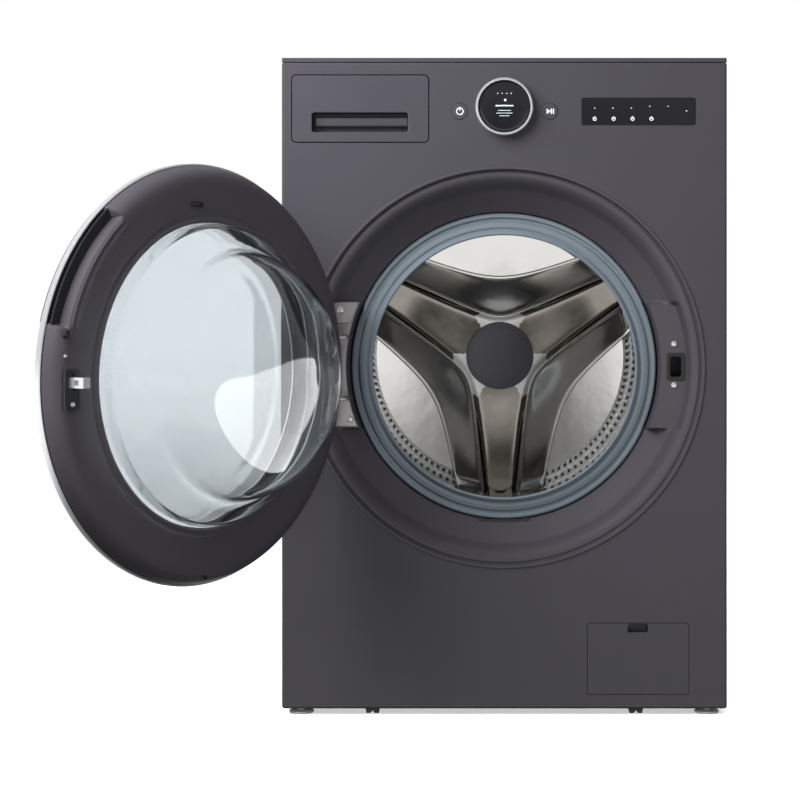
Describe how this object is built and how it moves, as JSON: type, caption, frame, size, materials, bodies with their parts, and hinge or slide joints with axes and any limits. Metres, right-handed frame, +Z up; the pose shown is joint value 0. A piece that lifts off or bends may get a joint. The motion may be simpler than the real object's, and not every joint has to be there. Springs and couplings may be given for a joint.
{
  "type": "front load washing machine",
  "caption": "Front load washing machine with its round glass door standing open, stainless drum, detergent drawer, round dial and display, and a flap over the drain filter.",
  "frame": {"origin": "on the floor under the middle of the cabinet; the dished middle of the base pan is 4 mm above it", "axes": "+X to the right seen from the front, +Y into the machine, +Z up; the front panel's face is at Y = -0.3"},
  "size_m": [0.8377, 1.0435, 0.886],
  "materials": {
    "cabinet_paint": "satin dark metallic grey enamel",
    "painted_plastic": "plastic painted to match the cabinet",
    "zinc_steel": "zinc coated sheet and bar",
    "black_plastic": "fine moulded grain",
    "white_plastic": "plain moulded",
    "blue_plastic": "glossy moulded",
    "silver_trim": "bright satin silver",
    "black_gloss": "polished black",
    "circuit_board": "lacquered board",
    "bezel_plastic": "satin dark purple grey",
    "gasket_rubber": "smooth blue grey rubber",
    "drum_steel": "bright stainless",
    "slate_plastic": "matt slate",
    "cast_aluminium": "as cast",
    "motor_winding": "varnished windings",
    "weight_concrete": "cast concrete",
    "tub_plastic": "glass filled moulding",
    "clear_glass": "clear pressed glass"
  },
  "bodies": {
    "cabinet": {"front_panel": "cabinet_paint", "left_side_panel": "cabinet_paint", "right_side_panel": "cabinet_paint", "top_panel": "cabinet_paint", "rear_panel": "zinc_steel", "rear_service_cover": "zinc_steel", "rear_outlet_block": "black_plastic", "base_pan": "black_plastic", "foot_front_left": "zinc_steel", "foot_front_right": "zinc_steel", "foot_rear_left": "zinc_steel", "foot_rear_right": "zinc_steel", "drain_pump": "white_plastic", "dispenser_housing": "white_plastic", "dial_display": "black_gloss", "display_panel": "black_gloss", "control_board": "circuit_board", "main_controller": "black_plastic", "inlet_valve": "white_plastic", "door_bezel": "bezel_plastic", "door_gasket": "gasket_rubber", "door_lock": "black_plastic", "hinge_bracket": "zinc_steel", "hinge_pin": "zinc_steel", "tub_front": "tub_plastic", "tub_rear": "tub_plastic", "bearing_front": "zinc_steel", "bearing_rear": "zinc_steel", "motor_stator": "motor_winding", "counterweight_upper": "weight_concrete", "counterweight_lower": "weight_concrete", "spring_left": "zinc_steel", "spring_right": "zinc_steel", "damper_left": "black_plastic", "damper_right": "black_plastic"},
    "door": {"door_inner_frame": "bezel_plastic", "door_cover_frame": "black_plastic", "door_trim_ring": "silver_trim", "door_outer_glass": "clear_glass", "door_glass_bowl": "clear_glass", "hinge_arm": "zinc_steel", "door_latch_plate": "black_plastic"},
    "hook": {"door_hook": "silver_trim"},
    "drum": {"drum_front_ring": "drum_steel", "drum_shell": "drum_steel", "drum_back": "drum_steel", "drum_hub_cap": "slate_plastic", "lifter_lower": "drum_steel", "lifter_upper_left": "drum_steel", "lifter_upper_right": "drum_steel", "drum_spider": "cast_aluminium", "motor_rotor": "zinc_steel"},
    "drawer": {"drawer_front": "painted_plastic", "drawer_tray": "white_plastic", "siphon_cap": "blue_plastic"},
    "dial": {"dial_ring": "silver_trim"},
    "power_button": {"power_button": "painted_plastic"},
    "start_button": {"start_button": "painted_plastic"},
    "filter_door": {"filter_door": "painted_plastic"},
    "filter_cap": {"drain_filter_cap": "white_plastic"}
  },
  "joints": [
    {"name": "door_hinge", "type": "hinge", "parent": "cabinet", "child": "door", "pos_m": [-0.237, -0.327, 0.469], "axis": [0, 0, -1], "range_deg": [-126, 24]},
    {"name": "drum_spin", "type": "hinge", "parent": "cabinet", "child": "drum", "pos_m": [0, 0, 0.469], "axis": [0, 1, 0], "continuous": true},
    {"name": "drawer_slide", "type": "slide", "parent": "cabinet", "child": "drawer", "axis": [0, -1, 0], "range_m": [0, 0.2]},
    {"name": "filter_door_hinge", "type": "hinge", "parent": "cabinet", "child": "filter_door", "pos_m": [0.18025, -0.2985, 0.031], "axis": [1, 0, 0], "range_deg": [0, 90]},
    {"name": "filter_cap_turn", "type": "hinge", "parent": "cabinet", "child": "filter_cap", "pos_m": [0.18, -0.26, 0.076], "axis": [0, -1, 0], "range_deg": [0, 150]},
    {"name": "dial_turn", "type": "hinge", "parent": "cabinet", "child": "dial", "pos_m": [0, -0.307, 0.8195], "axis": [0, -1, 0], "continuous": true},
    {"name": "power_press", "type": "slide", "parent": "cabinet", "child": "power_button", "axis": [0, 1, 0], "range_m": [0, 0.0012], "stiffness_N_per_m": 600},
    {"name": "start_press", "type": "slide", "parent": "cabinet", "child": "start_button", "axis": [0, 1, 0], "range_m": [0, 0.0012], "stiffness_N_per_m": 600},
    {"name": "hook_tilt", "type": "hinge", "parent": "door", "child": "hook", "pos_m": [-0.49605, -0.72098, 0.469], "axis": [0, 0, 1], "range_deg": [0, 8], "stiffness_Nm_per_rad": 0.4}
  ]
}
